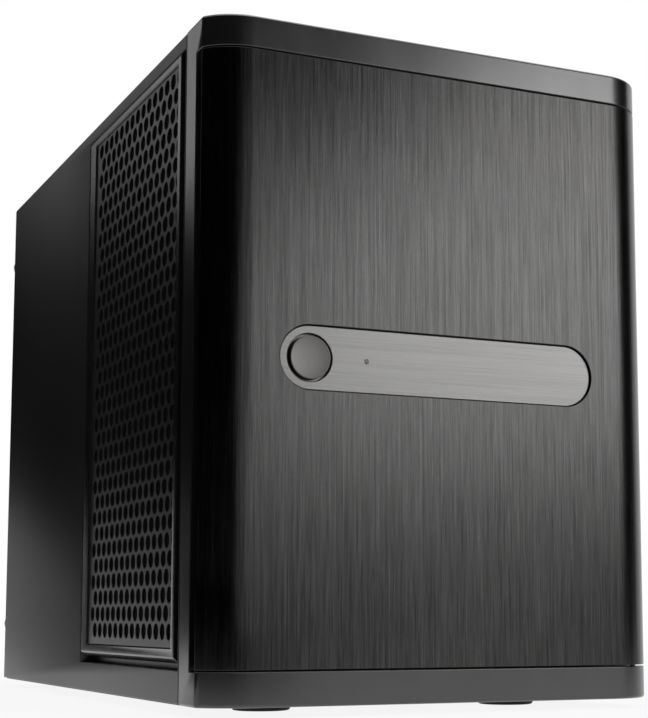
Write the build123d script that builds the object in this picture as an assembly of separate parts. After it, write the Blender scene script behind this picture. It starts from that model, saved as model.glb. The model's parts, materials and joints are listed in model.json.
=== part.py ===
"""A compact tower case for a mini-ITX board and eight drives.

Millimetres, +Z up. X runs across the case, +X to the right as seen from the front. The door faces -Y.
The origin is on the floor, under the middle of the case's box.
"""
import os
from math import asin, atan2, cos, degrees, pi, radians, sin, sqrt

from build123d import *

# Overall size
body_width = 211.0
overall_depth = 360.0
overall_height = 285.0
foot_height = 4.0
rear_hardware = 6.0
sheet = 1.0
moulding = 2.5
running_clearance = 0.05
fit = 0.3

# Front bezel and its door pocket
edge_reach = 19.5
edge_setback = 9.7
bezel_depth = 29.0
pocket_depth = 16.4
bottom_cap = 14.0
top_cap = 13.5
cap_edge_round = 0.8
seam_gap = 0.4

# Door
door_gap = 0.6
skin_thickness = 2.0
door_thickness = 8.5
door_rim = 2.5
door_web = 2.0
door_frame_inset = 8.5
hinge_inset_x = 6.0
hinge_inset_y = 9.6
hinge_pin_radius = 1.25
hinge_pin_reach = 6.0
hinge_pin_sides = 12
hinge_ear_radius = 2.15
hinge_ear_height = 8.0
hinge_boss_radius = 3.2
hinge_boss_length = 6.5
catch_inset = 16.0
catch_height_inset = 26.0
magnet_width = 12.0
magnet_height = 8.0
magnet_thickness = 3.0
magnet_boss_wall = 0.8
catch_gap = 0.4

# Oblong strip with the power button
strip_end_gap = 31.5
strip_height = 27.0
strip_recess = 1.2
strip_thickness = 1.5
strip_fit = 0.25
button_hole_radius = 10.0
button_radius = 9.0
button_proud = 1.0
button_dish = 0.7
button_edge = 0.5
button_travel = 1.5
button_flange_radius = 10.4
button_flange_sides = 12
button_flange = 1.0
button_stem_radius = 4.0
guide_wall = 4.6
guide_floor = 1.4
lamp_from_button = 25.5
lamp_radius = 0.8
switch_size = 8.0
switch_board_height = 14.0
switch_plunger = 1.2
switch_plunger_radius = 1.6
switch_board_thickness = 1.6

# Outer cover
cover_bend = 2.0
cover_lift = 0.6
cover_flange = 9.0
cover_top_flange = 5.0
thumbscrew_inset = 5.5
thumbscrew_from_floor = 32.0
thumbscrew_from_roof = 35.0
thumbscrew_head_radius = 5.0
thumbscrew_shank_radius = 1.7
thumbscrew_shank = 6.0
thumbscrew_sides = 12

# Side filter
filter_pocket_length = 152.0
filter_pocket_low = 13.9
filter_pocket_high = 7.2
filter_pocket_depth = 7.0
filter_groove = 6.5
filter_slot = 2.6
filter_lip = 2.2
filter_sunk = 0.2
filter_border_side = 4.2
filter_border_rear = 9.8
filter_border_top = 3.2
filter_border_bottom = 6.1
filter_ledge = 2.5
filter_sheet_sunk = 0.8
filter_sheet_thickness = 0.8
filter_mesh_thickness = 0.5
filter_hole_pitch = 25.0
filter_hole_width = 20.5
filter_sheet_fit = 0.2
filter_magnet_width = 5.0
filter_magnet_height = 12.0
filter_magnet_thickness = 2.0
filter_magnet_inset = 30.0

# Fans
fan_end_gap = 19.5
fan_depth = 25.0
fan_screw_inset = 7.5
fan_screw_radius = 2.15
fan_corner = 6.0
fan_wall = 2.0
fan_bore_sides = 24
fan_hub_sides = 7
fan_shaft_sides = 8
fan_motor_radius = 20.0
fan_motor_plate = 5.0
fan_strut_width = 6.0
fan_shaft_radius = 1.5
fan_tip_gap = 1.5
fan_blades = 7
fan_blade_thickness = 1.6
fan_blade_chord = 27.0
fan_blade_pitch = 37.0
fan_axial_gap = 1.0
screw_head_radius = 3.6
screw_head = 1.2
fan_screw_reach = 9.0
fan_shank_radius = 1.75
side_fan_gap = 2.0
bracket_margin = 8.0
bracket_foot = 12.0
rear_fan_left_gap = 7.2
rear_fan_right_gap = 24.35
rear_fan_top_gap = 13.0
rear_fan_low_gap = 4.0

# Drive cage, trays and backplane
bay_count = 8
bay_floor = 22.0
bay_roof_gap = 23.0
drive_length = 147.0
drive_clearance = 0.5
tray_wall = 2.0
tray_floor = 1.5
tray_front = 4.0
tray_rail_height = 15.0
tray_front_gap = 2.0
tray_fit = 0.7
tray_proud = 1.0
tray_rib = 12.0
tray_windows = 3
tray_vents = 1
tray_vent_height = 3.4
tray_vent_margin = 2.5
tray_vent_gap = 4.0
runner_width = 3.0
runner_lift = 0.2
cage_left_space = 98.5
cage_right_gap = 3.5
cage_floor_gap = 0.3
cage_roof_gap = 1.5
cage_foot = 10.0
cage_slot_length = 56.0
cage_slot_height = 13.0
cage_slots = 2
backplane_thickness = 1.6
socket_depth = 5.9
socket_width = 44.0
socket_height = 5.0
socket_mouth_wall = 1.4
socket_offset = 12.7
backplane_gap_inset = 8.0
socket_rise = 8.0
lever_height = 11.0
lever_thickness = 2.8
lever_margin = 6.0
lever_grip = 2.0
lever_window = 24.0
lever_end = 4.0
lever_grip_width = 6.0
lever_edge = 2.0

# Board bay and rear panel
board_rear_gap = 1.4
board_front_gap = 3.82
board_psu_gap = 11.0
board_floor_gap = 31.82
standoff_height = 6.5
standoff_across_flats = 5.5
standoff_thread_radius = 1.5
board_thickness = 1.6
board_tray_gap = 7.5
board_hole_edge = 6.35
board_hole_rear = 10.16
board_hole_rear_upper = 33.02
board_hole_front = 5.08
board_tray_rise = 3.0
cooler_window = 76.0
cooler_window_drop = 68.0
io_shorter = 11.43
io_width = 44.45
io_surface_offset = 3.9
io_top_offset = 1.4
slot_pitch = 20.32
slot_opening = 12.7
slot_cover_width = 18.4
slot_cover_thickness = 0.8
slot_first = 35.5
slot_length = 106.0
slot_cover_overlap = 11.0
slot_cover_end = 1.5
slot_screw_reach = 5.0
psu_width = 125.0
psu_height = 63.5
psu_length = 100.0
psu_roof_gap = 3.5
psu_opening_width = 100.0
psu_opening_height = 56.0
psu_screw_width = 113.0
psu_screw_height = 51.5
psu_screw_radius = 2.0
psu_shelf_margin = 3.5
psu_shelf_lip = 10.0
psu_shelf_foot = 8.0
psu_shelf_gap = 0.2
psu_shelf_spare = 2.0
psu_window_side = 20.0
psu_window_end = 16.0
vent_pitch = 25.0
vent_hole_width = 20.5
pan_flange = 12.0
pan_tab_inset = 15.5
pan_tab_gap = 17.0
rail_leg = 11.0

# Front ports
ports_from_side = 50.5
ports_window = 4.0
ports_z = 72.0
ports_width = 60.0
ports_height = 24.0
ports_lip = 2.0
ports_depth = 12.0
ports_proud = 0.8
usb_width = 14.5
usb_height = 7.0
usb_wall = 0.6
usb_tongue = 1.8
jack_width = 7.0
jack_bore = 1.8
reset_sides = 12
reset_radius = 2.0
reset_hole_radius = 2.3
reset_flange_radius = 2.9
reset_travel = 1.0
reset_flange = 1.0
reset_proud = 0.6
reset_bore = 2.0

# Feet
foot_radius = 13.5
foot_taper = 1.0
foot_sides = 18
foot_inset_x = 45.5
foot_inset_y = 54.5

# Places worked out from the sizes above
half_width = body_width / 2
face_y = -overall_depth / 2
body_floor = foot_height
body_roof = overall_height
middle_z = (body_floor + body_roof) / 2
strip_length = body_width - 2 * strip_end_gap
ports_x = -half_width + ports_from_side
edge_radius = (edge_reach**2 + edge_setback**2) / (2 * edge_setback)
edge_turn = asin(edge_reach / edge_radius)
flat_half = half_width - edge_reach
bezel_back = face_y + bezel_depth
panel_y = face_y + pocket_depth
pocket_z = (body_floor + bottom_cap, body_roof - top_cap)
door_z = (pocket_z[0] + door_gap, pocket_z[1] - door_gap)
door_back = face_y + door_thickness
web_back = face_y + skin_thickness + door_web
hinge_x = half_width - hinge_inset_x
hinge_y = face_y + hinge_inset_y
catch_x = -half_width + catch_inset
catch_z = (door_z[0] + catch_height_inset, door_z[1] - catch_height_inset)

button_x = -(strip_length - strip_height) / 2
lamp_x = button_x + lamp_from_button
strip_face = face_y + strip_recess
strip_back = strip_face + strip_thickness
button_face = strip_face - button_proud
flange_front = strip_back + fit
flange_back = flange_front + button_flange
stem_end = door_back - fit

cover_front = bezel_back + seam_gap
cover_back = overall_depth / 2 - rear_hardware
rear_face = cover_back - sheet
rear_inner = rear_face - sheet
inner_half = half_width - sheet
plate_y = (bezel_back, bezel_back + sheet)
pan_half = inner_half - fit
pan_top = body_floor + sheet
pan_inside = pan_half - sheet
frame_half = pan_inside
frame_top = body_roof - sheet - seam_gap

filter_pocket_y = (cover_front + sheet, cover_front + sheet + filter_pocket_length)
filter_pocket_z = (body_floor + filter_pocket_low, body_roof - filter_pocket_high)
filter_floor_x = -half_width + filter_pocket_depth
filter_face_x = -half_width + filter_sunk
filter_back_x = filter_floor_x - fit
filter_y = (filter_pocket_y[0] + filter_groove, filter_pocket_y[1] - fit)
filter_z = (filter_pocket_z[0] + filter_slot, filter_pocket_z[1] - fit)
filter_recess_y = (filter_y[0] + filter_border_side, filter_y[1] - filter_border_rear)
filter_recess_z = (filter_z[0] + filter_border_bottom, filter_z[1] - filter_border_top)
filter_window_y = (filter_recess_y[0] + filter_ledge, filter_recess_y[1] - filter_ledge)
filter_window_z = (filter_recess_z[0] + filter_ledge, filter_recess_z[1] - filter_ledge)
filter_sheet_x = filter_face_x + filter_sheet_sunk
filter_mesh_x = filter_sheet_x + filter_sheet_thickness
filter_ledge_x = filter_mesh_x + filter_mesh_thickness

bracket_front = filter_floor_x + sheet + screw_head + fit
bracket_x = (bracket_front, bracket_front + sheet)
side_fan_y = sum(filter_window_y) / 2
fan_size = (body_roof - body_floor - 2 * fan_end_gap - side_fan_gap) / 2
side_fan_z = [middle_z + side * (fan_size + side_fan_gap) / 2 for side in (-1, 1)]
bracket_y = (plate_y[1], side_fan_y + fan_size / 2 + bracket_margin)

bay_pitch = (body_roof - bay_roof_gap - bay_floor) / bay_count
tray_front_height = bay_pitch - tray_front_gap
cage_x = (-half_width + cage_left_space, half_width - cage_right_gap - sheet)
cage_z = (bay_floor - runner_lift - cage_floor_gap, body_roof - bay_roof_gap + cage_roof_gap)
tray_x = (cage_x[0] + tray_fit, cage_x[1] - tray_fit)
tray_face = panel_y + tray_proud
drive_y = tray_face + tray_front + runner_lift
tray_back = drive_y + drive_length
backplane_y = tray_back + drive_clearance + socket_depth
cage_back = backplane_y

board_tray_x = half_width - board_tray_gap
board_back_x = board_tray_x - sheet - standoff_height
board_face_x = board_back_x - board_thickness
board_rear = rear_inner - board_rear_gap
board_front = cage_back + backplane_thickness + board_front_gap
psu_floor = body_roof - psu_roof_gap - psu_height
psu_z = psu_floor + psu_height / 2
board_top = psu_floor - board_psu_gap
board_low = pan_top + board_floor_gap
io_x = (board_face_x + io_surface_offset - io_width, board_face_x + io_surface_offset)
io_z = (board_low + io_shorter - io_top_offset, board_top - io_top_offset)
slot_x = (board_face_x - slot_length, board_face_x)
slot_screw_x = slot_x[0] - slot_cover_overlap / 2
slot_z = [slot_first - number * slot_pitch for number in range(2)]
board_holes = [
    (board_rear - board_hole_rear_upper, board_top - board_hole_edge),
    (board_front + board_hole_front, board_top - board_hole_edge),
    (board_rear - board_hole_rear, board_low + board_hole_edge),
    (board_front + board_hole_front, board_low + board_hole_edge),
]
rear_fan_span = (-frame_half + rear_fan_left_gap, io_x[0] - rear_fan_right_gap)
rear_fan_rise = (slot_z[0] + slot_cover_width / 2 + rear_fan_low_gap, psu_floor - rear_fan_top_gap)
rear_fan_size = min(rear_fan_span[1] - rear_fan_span[0], rear_fan_rise[1] - rear_fan_rise[0])
rear_fan_x = sum(rear_fan_span) / 2
rear_fan_z = rear_fan_rise[1] - rear_fan_size / 2
pan_tab_x = (-half_width + pan_tab_inset, slot_screw_x - pan_tab_gap)
thumbscrew_z = (body_floor + thumbscrew_from_floor, body_roof - thumbscrew_from_roof)
thumbscrew_places = [(side * (half_width - thumbscrew_inset), z) for side in (-1, 1) for z in thumbscrew_z]
foot_x = half_width - foot_inset_x
foot_y = overall_depth / 2 - foot_inset_y
foot_places = [(x * foot_x, y * foot_y) for x in (-1, 1) for y in (-1, 1)]


def block(x, y, z):
    """A block between three pairs of planes."""
    size = Box(abs(x[1] - x[0]), abs(y[1] - y[0]), abs(z[1] - z[0]))
    return Pos(sum(x) / 2, sum(y) / 2, sum(z) / 2) * size


def around(centre, width):
    """The pair of planes at half the width to each side of a centre."""
    return (centre - width / 2, centre + width / 2)


def rod(radius, start, end):
    """A round bar between two points."""
    start, end = Vector(*start), Vector(*end)
    run = end - start
    return extrude(Plane(origin=start, z_dir=run) * Circle(radius), run.length)


def prism(radius, start, end, sides=6):
    """A bar of many flat sides between two points; the radius reaches the flats."""
    start, end = Vector(*start), Vector(*end)
    run = end - start
    outline = RegularPolygon(radius, sides, major_radius=False, rotation=180 / sides)
    return extrude(Plane(origin=start, z_dir=run) * outline, run.length)


def hexagons(places, width, plane, depth):
    """Six-sided holes, point up, at places on a plane."""
    radius = width / sqrt(3)
    cells = [Pos(x, y) * RegularPolygon(radius, 6, rotation=30) for x, y in places]
    return extrude(plane * Sketch(children=cells), depth)


def staggered(x_range, y_range, pitch, keep=lambda x, y: True):
    """Centres of a close-packed pattern in the middle of a rectangle."""
    row_pitch = pitch * sqrt(3) / 2
    columns = int((x_range[1] - x_range[0]) / pitch - 0.5)
    rows = int((y_range[1] - y_range[0] - pitch) / row_pitch) + 1
    first_x = sum(x_range) / 2 - (columns - 0.5) * pitch / 2
    first_y = sum(y_range) / 2 - (rows - 1) * row_pitch / 2
    places = []
    for row in range(rows):
        for column in range(columns):
            x = first_x + (column + row % 2 / 2) * pitch
            y = first_y + row * row_pitch
            if keep(x, y):
                places.append((x, y))
    return places


def on_arc(side, inset, turn):
    """A point on the rolled edge, seen from above, at an angle from its start."""
    radius = edge_radius - inset
    return (side * (flat_half + radius * sin(turn)), face_y + edge_radius - radius * cos(turn))


def front_line(inset, turn):
    """The front's line seen from above, left to right: arc, flat, arc."""
    left = ThreePointArc(on_arc(-1, inset, turn), on_arc(-1, inset, turn / 2), on_arc(-1, inset, 0))
    flat = Line(on_arc(-1, inset, 0), on_arc(1, inset, 0))
    right = ThreePointArc(on_arc(1, inset, 0), on_arc(1, inset, turn / 2), on_arc(1, inset, turn))
    return [left, flat, right]


def front_plan(inset, side_x, back_y):
    """The front's plan, from its face to a straight back line."""
    turn = asin((side_x - flat_half) / (edge_radius - inset))
    left, right = on_arc(-1, inset, turn), on_arc(1, inset, turn)
    back = Polyline(right, (right[0], back_y), (left[0], back_y), left)
    return make_face(front_line(inset, turn) + [back])


def upright(plan, z):
    """A plan drawn up between two heights."""
    return Pos(0, 0, z[0]) * extrude(plan, z[1] - z[0])


def hinge_rod(radius, z):
    return rod(radius, (hinge_x, hinge_y, z[0]), (hinge_x, hinge_y, z[1]))


def hinge_pin(z):
    """A pin whose corners, not its flats, run in the door's round bores."""
    flats = hinge_pin_radius * cos(pi / hinge_pin_sides)
    return prism(flats, (hinge_x, hinge_y, z[0]), (hinge_x, hinge_y, z[1]), hinge_pin_sides)


def front_bezel():
    """One moulding: bottom and top caps, side bars, and the panel behind the door."""
    solid_front = upright(front_plan(0, half_width, bezel_back), (body_floor, body_roof))
    shell = solid_front
    rim = shell.edges().group_by(Axis.Z)[-1] + shell.edges().group_by(Axis.Z)[0]
    rim = [edge for edge in rim if edge.center().Y < bezel_back - 0.1]
    shell = chamfer(rim, cap_edge_round)
    shell -= block((-half_width, half_width), (face_y - 1, panel_y), pocket_z)
    inner_z = (body_floor + moulding, body_roof - moulding)
    hollow = upright(front_plan(moulding, half_width - moulding, bezel_back), inner_z)
    kept_z = (pocket_z[0] - moulding, pocket_z[1] + moulding)
    hollow -= block((-half_width, half_width), (face_y - 1, panel_y + moulding), kept_z)
    shell -= hollow
    for start, run in ((pocket_z[0], -1), (pocket_z[1], 1)):
        boss_end = start + run * (moulding + hinge_boss_length)
        boss_x = around(hinge_x, 2 * hinge_boss_radius)
        shell += block(boss_x, around(hinge_y, 2 * hinge_boss_radius), (start, boss_end)) & solid_front
        shell -= hinge_pin((start - run, start + run * hinge_boss_length))
    for height in catch_z:
        post_face = door_back + catch_gap + sheet
        post_y = (post_face, panel_y + moulding)
        shell += block(around(catch_x, magnet_width), post_y, around(height, magnet_height))
    through = (panel_y - 1, panel_y + moulding + 1)
    shell -= block((cage_x[0], cage_x[1]), through, cage_z)
    shell -= block(around(ports_x, ports_width), through, around(ports_z, ports_height))
    return shell


def arc_band(inner):
    """The door sheet's section seen from above, with square-cut ends."""
    outer_line = front_line(0, edge_turn)
    inner_line = front_line(inner, edge_turn)
    ends = [Line(on_arc(side, 0, edge_turn), on_arc(side, inner, edge_turn)) for side in (-1, 1)]
    return make_face(outer_line + inner_line + ends)


def oblong(length, height, y, depth):
    """An oblong with round ends, standing in the door's plane."""
    plane = Plane(origin=(0, y, middle_z), x_dir=(1, 0, 0), z_dir=(0, 1, 0))
    return extrude(plane * SlotOverall(length, height), depth)


def door_skin():
    """Aluminium sheet with rolled edges and the oblong opening."""
    skin = upright(arc_band(skin_thickness), door_z)
    return skin - oblong(strip_length, strip_height, face_y - 1, skin_thickness + 2)


def door_frame():
    """Moulded frame that the skin is bonded to, hollow towards the case."""
    side_x = half_width - door_frame_inset
    z = (door_z[0] + fit, door_z[1] - fit)
    body = upright(front_plan(skin_thickness + fit, side_x, door_back), z)
    body += block((-flat_half, flat_half), (face_y + skin_thickness, door_back), z)
    cells = 4
    inner = (-side_x + door_rim, side_x - door_rim - hinge_ear_height)
    cell = (inner[1] - inner[0] + door_rim) / cells
    for number in range(cells):
        left = inner[0] + number * cell
        cell_x = (left, left + cell - door_rim)
        body -= block(cell_x, (web_back, door_back + 1), (z[0] + door_rim, z[1] - door_rim))
    guide = 2 * (button_hole_radius + guide_wall)
    body += block(around(button_x, guide), (web_back, door_back), around(middle_z, guide))
    body -= oblong(strip_length, strip_height, face_y, strip_back - face_y)
    front = (button_x, face_y, middle_z)
    guide_end = (button_x, door_back - guide_floor, middle_z)
    body -= prism(button_flange_radius + fit, front, guide_end, button_flange_sides)
    body -= prism(button_stem_radius + fit, front, (button_x, door_back + 1, middle_z))
    body -= prism(lamp_radius, (lamp_x, face_y, middle_z), (lamp_x, door_back + 1, middle_z))
    wall = 2 * magnet_boss_wall
    for height in catch_z:
        boss_x = (-side_x, catch_x + (magnet_width + wall) / 2)
        boss = block(boss_x, (web_back, door_back), around(height, magnet_height + wall))
        body += boss & upright(front_plan(skin_thickness + fit, side_x, door_back), z)
        pocket_y = (door_back - magnet_thickness, door_back + 1)
        body -= block(around(catch_x, magnet_width), pocket_y, around(height, magnet_height))
    for low, high, bore in (
        (door_z[0] + fit, door_z[0] + hinge_ear_height, door_z[0]),
        (door_z[1] - hinge_ear_height, door_z[1] - fit, door_z[1]),
    ):
        body += prism(hinge_ear_radius, (hinge_x, hinge_y, low), (hinge_x, hinge_y, high))
        web_y = (hinge_y - hinge_ear_radius, hinge_y + hinge_ear_radius)
        body += block((side_x - door_rim, hinge_x), web_y, (low, high))
        inward = 1 if bore == door_z[0] else -1
        depth = hinge_pin_reach + fit
        body -= hinge_rod(hinge_pin_radius + running_clearance, (bore - inward, bore + inward * depth))
    return body


def control_strip():
    strip = oblong(strip_length - 2 * strip_fit, strip_height - 2 * strip_fit, strip_face, strip_thickness)
    strip -= rod(button_hole_radius, (button_x, face_y, middle_z), (button_x, web_back, middle_z))
    return strip - prism(lamp_radius, (lamp_x, face_y, middle_z), (lamp_x, web_back, middle_z))


def power_button():
    """Dished face, a flange that keeps it behind the strip, and a stem that reaches the switch."""
    profile = Polyline(
        (0, button_face + button_dish),
        (button_radius - button_edge, button_face),
        (button_radius, button_face + button_edge),
        (button_radius, flange_front),
        (0, flange_front),
        close=True,
    )
    plane = Plane(origin=(button_x, 0, middle_z), x_dir=(1, 0, 0), z_dir=(0, 0, 1))
    button = revolve(plane * make_face(profile), Axis((button_x, 0, middle_z), (0, 1, 0)))
    front, back = (button_x, flange_front, middle_z), (button_x, flange_back, middle_z)
    button += prism(button_flange_radius, front, back, button_flange_sides)
    return button + prism(button_stem_radius, back, (button_x, stem_end, middle_z))


def light_guide():
    return prism(lamp_radius - 0.05, (lamp_x, strip_face, middle_z), (lamp_x, web_back, middle_z))


def power_switch():
    """Small board on the bezel panel with the push switch and the lamp."""
    board_face = panel_y - switch_board_thickness
    board_x = (button_x - switch_size, lamp_x + switch_size)
    board = block(board_x, (board_face, panel_y), around(middle_z, switch_board_height))
    tip = stem_end + button_travel + fit
    body_y = (tip + switch_plunger, board_face)
    board += block(around(button_x, switch_size), body_y, around(middle_z, switch_size))
    board += prism(switch_plunger_radius, (button_x, tip, middle_z), (button_x, board_face, middle_z))
    lamp_tip = door_back + catch_gap
    return board + prism(switch_plunger_radius, (lamp_x, lamp_tip, middle_z), (lamp_x, board_face, middle_z))


def hinge_pins():
    low = hinge_pin((pocket_z[0] - hinge_boss_length, door_z[0] + hinge_pin_reach))
    high = hinge_pin((door_z[1] - hinge_pin_reach, pocket_z[1] + hinge_boss_length))
    return [low, high]


def catch_blocks(y):
    """Two flat blocks, one above the other, where the door's free edge is held."""
    return [block(around(catch_x, magnet_width), y, around(z, magnet_height)) for z in catch_z]


def door_magnets():
    return catch_blocks((door_back - magnet_thickness, door_back))


def catch_plates():
    return catch_blocks((door_back + catch_gap, door_back + catch_gap + sheet))


def port_module():
    """Block behind the bezel panel that holds the sockets and the reset button."""
    face = panel_y - ports_proud
    back = panel_y + ports_depth
    module = block(around(ports_x, ports_width - fit), (face, back), around(ports_z, ports_height - fit))
    lip_y = (panel_y + moulding, panel_y + moulding + ports_lip)
    lip_x = around(ports_x, ports_width + 2 * ports_lip)
    module += block(lip_x, lip_y, around(ports_z, ports_height + 2 * ports_lip))
    for x in usb_places():
        module -= block(around(x, usb_width), (face - 1, back - ports_lip), around(ports_z, usb_height))
    jack_y = (face - 1, back - ports_lip)
    module -= block(around(jack_place(), jack_width), jack_y, around(ports_z, jack_width))
    x = reset_place()
    module -= prism(reset_hole_radius, (x, face - 1, ports_z), (x, back - ports_lip, ports_z), reset_sides)
    cavity = reset_flange_radius + fit
    cavity_start = face + reset_bore
    cavity_end = cavity_start + reset_flange + reset_travel + 2 * fit
    return module - prism(cavity, (x, cavity_start, ports_z), (x, cavity_end, ports_z), reset_sides)


def usb_places():
    return [ports_x - ports_width / 2 + usb_width * (0.75 + 1.25 * number) for number in range(2)]


def jack_place():
    return usb_places()[1] + usb_width / 2 + 2 * ports_lip + jack_width / 2


def reset_place():
    return ports_x + ports_width / 2 - 2 * ports_lip - reset_flange_radius


def port_sockets():
    """Two serial sockets with tongues and one audio jack."""
    face = panel_y - ports_proud
    back = panel_y + ports_depth - ports_lip
    sockets = []
    for x in usb_places():
        shell = block(around(x, usb_width), (face, back), around(ports_z, usb_height))
        inside = (face - 1, back - 1)
        shell -= block(around(x, usb_width - 2 * usb_wall), inside, around(ports_z, usb_height - 2 * usb_wall))
        tongue_z = (ports_z, ports_z + usb_tongue)
        sockets.append(shell + block(around(x, usb_width - 3), (face + 1, back), tongue_z))
    x = jack_place()
    jack = block(around(x, jack_width), (face, back), around(ports_z, jack_width))
    sockets.append(jack - prism(jack_bore, (x, face - 1, ports_z), (x, back - 1, ports_z), reset_sides))
    return sockets


def reset_button():
    """A short pin with a flange that keeps it behind the module's face."""
    x = reset_place()
    flange_y = panel_y - ports_proud + reset_bore + fit
    face, end = (x, panel_y - ports_proud - reset_proud, ports_z), (x, flange_y, ports_z)
    back = (x, flange_y + reset_flange, ports_z)
    pin = prism(reset_radius, face, back, reset_sides)
    return pin + prism(reset_flange_radius, end, back, reset_sides)


def outer_cover():
    """Folded steel hood: two sides and the roof, with the pressed pocket for the filter."""
    outside = block((-half_width, half_width), (cover_front, cover_back), (body_floor + cover_lift, body_roof))
    top_edges = outside.edges().filter_by(Axis.Y).group_by(Axis.Z)[-1]
    outside = fillet(top_edges, cover_bend)
    inside = block((-inner_half, inner_half), (cover_front - 1, cover_back - sheet), (0, body_roof - sheet))
    inner_edges = inside.edges().filter_by(Axis.Y).group_by(Axis.Z)[-1]
    hood = outside - fillet(inner_edges, cover_bend - sheet)
    rear_gap_x = inner_half - cover_flange
    rear_gap_z = (0, body_roof - cover_top_flange)
    hood -= block((-rear_gap_x, rear_gap_x), (cover_back - 2 * sheet, cover_back + 1), rear_gap_z)
    pocket_outer = [(low - sheet, high + sheet) for low, high in (filter_pocket_y, filter_pocket_z)]
    hood += block((-half_width, filter_floor_x + sheet), *pocket_outer)
    hood -= block((-half_width - 1, filter_floor_x), filter_pocket_y, filter_pocket_z)
    window = [(low + fit, high - fit) for low, high in (filter_window_y, filter_window_z)]
    hood -= block((filter_floor_x - 1, filter_floor_x + sheet + 1), *window)
    for x, z in thumbscrew_places:
        start, end = (x, cover_back - 2 * sheet, z), (x, cover_back + 1, z)
        hood -= prism(thumbscrew_shank_radius + fit, start, end)
    return hood


def thumbscrews():
    """Screws with wide round heads that hold the cover to the rear panel."""
    screws = []
    for x, z in thumbscrew_places:
        seat = (x, cover_back, z)
        head = prism(thumbscrew_head_radius, seat, (x, overall_depth / 2, z), thumbscrew_sides)
        shank = prism(thumbscrew_shank_radius, (x, cover_back - thumbscrew_shank, z), seat)
        screws.append(head + shank)
    return screws


def filter_frame():
    """Moulded frame with a bevelled finger lip at its foot."""
    frame = block((filter_face_x, filter_back_x), filter_y, filter_z)
    foot = frame.edges().filter_by(Axis.Y).group_by(Axis.X)[0].sort_by(Axis.Z)[0]
    frame = chamfer(foot, filter_lip)
    frame -= block((filter_face_x - 1, filter_ledge_x), filter_recess_y, filter_recess_z)
    frame -= block((filter_face_x, filter_back_x + 1), filter_window_y, filter_window_z)
    for magnet in filter_magnets():
        frame -= magnet
    return frame


def filter_magnets():
    """Three flat magnets in the frame's rear border."""
    x = (filter_back_x - filter_magnet_thickness, filter_back_x)
    y = around((filter_window_y[1] + filter_y[1]) / 2, filter_magnet_width)
    heights = (filter_z[0] + filter_magnet_inset, sum(filter_z) / 2, filter_z[1] - filter_magnet_inset)
    return [block(x, y, around(z, filter_magnet_height)) for z in heights]


def inside_recess():
    """The filter frame's recess, a little smaller all round."""
    return [(low + filter_sheet_fit, high - filter_sheet_fit) for low, high in (filter_recess_y, filter_recess_z)]


def filter_sheet():
    """Perforated steel sheet with a close-packed pattern."""
    plate = block((filter_sheet_x, filter_mesh_x), *inside_recess())
    places = staggered(filter_window_y, filter_window_z, filter_hole_pitch)
    plane = Plane(origin=(filter_sheet_x - 1, 0, 0), x_dir=(0, 1, 0), z_dir=(1, 0, 0))
    return plate - hexagons(places, filter_hole_width, plane, filter_sheet_thickness + 2)


def filter_mesh():
    return block((filter_mesh_x, filter_ledge_x), *inside_recess())


def base_pan():
    """Folded steel floor with a flange up each side and at the rear."""
    y = (plate_y[1], rear_inner)
    pan = block((-pan_half, pan_half), y, (body_floor, pan_top))
    for side in (-1, 1):
        pan += block((side * (pan_half - sheet), side * pan_half), y, (body_floor, body_floor + pan_flange))
    corner_y = (rear_inner - 2 * sheet, rear_inner)
    corner_z = (pan_top, body_floor + 2 * pan_flange)
    pan -= block((-pan_half, -pan_half + 2 * sheet), corner_y, corner_z)
    pan -= block((pan_half - 2 * sheet, pan_half), corner_y, corner_z)
    tab_y = (rear_inner - sheet, rear_inner)
    return pan + block(pan_tab_x, tab_y, (body_floor, body_floor + pan_flange))


def front_plate():
    """Flat steel plate behind the bezel, open for the trays and the port cables."""
    x = (filter_floor_x + sheet + fit, frame_half)
    plate = block(x, plate_y, (pan_top, frame_top))
    through = (plate_y[0] - 1, plate_y[1] + 1)
    plate -= block(cage_x, through, cage_z)
    window_x = around(ports_x, ports_width + 2 * ports_window)
    return plate - block(window_x, through, around(ports_z, ports_height + 2 * ports_window))


def roof_rails():
    """Two folded rails that tie the front plate to the rear panel under the roof."""
    top = frame_top
    y = (plate_y[1], rear_inner)
    right = block((frame_half - rail_leg, frame_half), y, (top - sheet, top))
    right += block((frame_half - sheet, frame_half), y, (top - rail_leg, top))
    left = block((-frame_half, -frame_half + rail_leg), y, (top - sheet, top))
    leg_y = (bracket_y[1] + fit, rear_inner)
    left += block((bracket_x[1], bracket_x[1] + sheet), leg_y, (top - rail_leg, top))
    return [right, left]


def fan_corners(size):
    half = size / 2 - fan_screw_inset
    return [(a * half, b * half) for a in (-1, 1) for b in (-1, 1)]


def fan_bracket():
    """Steel plate between the filter and the side fans."""
    plate = block(bracket_x, bracket_y, (pan_top, frame_top - sheet))
    plate += block((bracket_x[1], bracket_x[1] + bracket_foot), bracket_y, (pan_top, pan_top + sheet))
    through = (bracket_x[0] - 1, bracket_x[1] + 1)
    for z in side_fan_z:
        start, end = (through[0], side_fan_y, z), (through[1], side_fan_y, z)
        plate -= prism(fan_size / 2 - fan_wall, start, end, fan_bore_sides)
        for a, b in fan_corners(fan_size):
            y, height = side_fan_y + a, z + b
            plate -= prism(fan_screw_radius, (through[0], y, height), (through[1], y, height))
    return plate


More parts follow.
